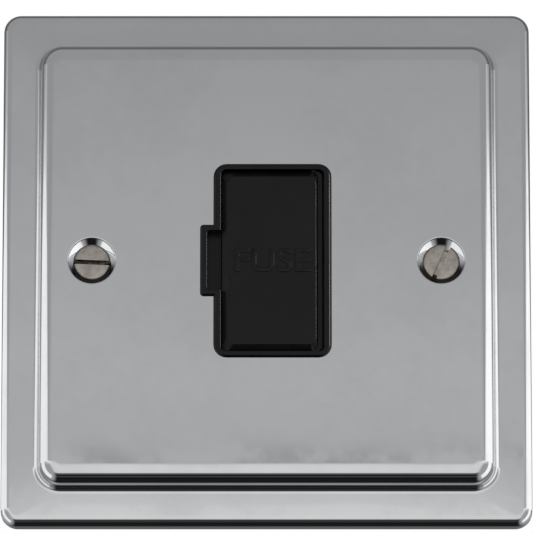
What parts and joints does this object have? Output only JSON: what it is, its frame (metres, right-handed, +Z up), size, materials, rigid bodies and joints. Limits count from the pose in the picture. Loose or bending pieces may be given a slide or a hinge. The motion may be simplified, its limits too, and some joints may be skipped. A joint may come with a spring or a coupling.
{
  "type": "fused spur unit",
  "caption": "Square stepped metal wall plate with a swing-out cartridge fuse carrier, fixing screws and rear terminals, for a fused supply spur.",
  "frame": {"origin": "centre of the plate's rear rim, on the wall's face", "axes": "+X right, +Z up, +Y into the wall, so the front faces -Y"},
  "size_m": [0.0914, 0.0275, 0.0914],
  "materials": {
    "chrome_plate": "polished",
    "black_moulding": "satin moulded",
    "black_housing": "matt moulded",
    "nickel_screw": "nickel plated",
    "plated_screw": "zinc plated",
    "ceramic_barrel": "plain",
    "fuse_cap": "nickel plated",
    "sprung_clip": "sprung sheet",
    "brass": "machined"
  },
  "bodies": {
    "unit": {"front_plate": "chrome_plate", "plate_pillar_upper": "brass", "plate_pillar_lower": "brass", "front_moulding": "black_moulding", "rear_housing": "black_housing", "supply_fuse_clip": "sprung_clip", "load_fuse_clip": "sprung_clip", "neutral_link": "brass", "earth_link": "brass", "module_screw_upper": "plated_screw", "module_screw_lower": "plated_screw", "supply_neutral_terminal": "brass", "load_neutral_terminal": "brass", "supply_live_terminal": "brass", "load_live_terminal": "brass", "supply_earth_terminal": "brass", "load_earth_terminal": "brass"},
    "carrier": {"fuse_carrier": "black_moulding", "fuse_barrel": "ceramic_barrel", "fuse_cap_upper": "fuse_cap", "fuse_cap_lower": "fuse_cap"},
    "supply_neutral_screw_body": {"supply_neutral_screw": "plated_screw"},
    "supply_live_screw_body": {"supply_live_screw": "plated_screw"},
    "supply_earth_screw_body": {"supply_earth_screw": "plated_screw"},
    "load_neutral_screw_body": {"load_neutral_screw": "plated_screw"},
    "load_live_screw_body": {"load_live_screw": "plated_screw"},
    "load_earth_screw_body": {"load_earth_screw": "plated_screw"},
    "fixing_screw_left_body": {"fixing_screw_left": "nickel_screw"},
    "fixing_screw_right_body": {"fixing_screw_right": "nickel_screw"}
  },
  "joints": [
    {"name": "fuse_carrier_swing", "type": "hinge", "parent": "unit", "child": "carrier", "pos_m": [0.00814, -0.007, 0], "axis": [0, 0, 1], "range_deg": [0, 70]},
    {"name": "supply_neutral_screw_clamp", "type": "slide", "parent": "unit", "child": "supply_neutral_screw_body", "axis": [0, -1, 0], "range_m": [0, 0.003]},
    {"name": "supply_live_screw_clamp", "type": "slide", "parent": "unit", "child": "supply_live_screw_body", "axis": [0, -1, 0], "range_m": [0, 0.003]},
    {"name": "supply_earth_screw_clamp", "type": "slide", "parent": "unit", "child": "supply_earth_screw_body", "axis": [0, -1, 0], "range_m": [0, 0.003]},
    {"name": "load_neutral_screw_clamp", "type": "slide", "parent": "unit", "child": "load_neutral_screw_body", "axis": [0, -1, 0], "range_m": [0, 0.003]},
    {"name": "load_live_screw_clamp", "type": "slide", "parent": "unit", "child": "load_live_screw_body", "axis": [0, -1, 0], "range_m": [0, 0.003]},
    {"name": "load_earth_screw_clamp", "type": "slide", "parent": "unit", "child": "load_earth_screw_body", "axis": [0, -1, 0], "range_m": [0, 0.003]},
    {"name": "fixing_screw_left_turn", "type": "hinge", "parent": "unit", "child": "fixing_screw_left_body", "pos_m": [-0.03015, 0, 0], "axis": [0, 1, 0], "continuous": true},
    {"name": "fixing_screw_right_turn", "type": "hinge", "parent": "unit", "child": "fixing_screw_right_body", "pos_m": [0.03015, 0, 0], "axis": [0, 1, 0], "continuous": true}
  ]
}
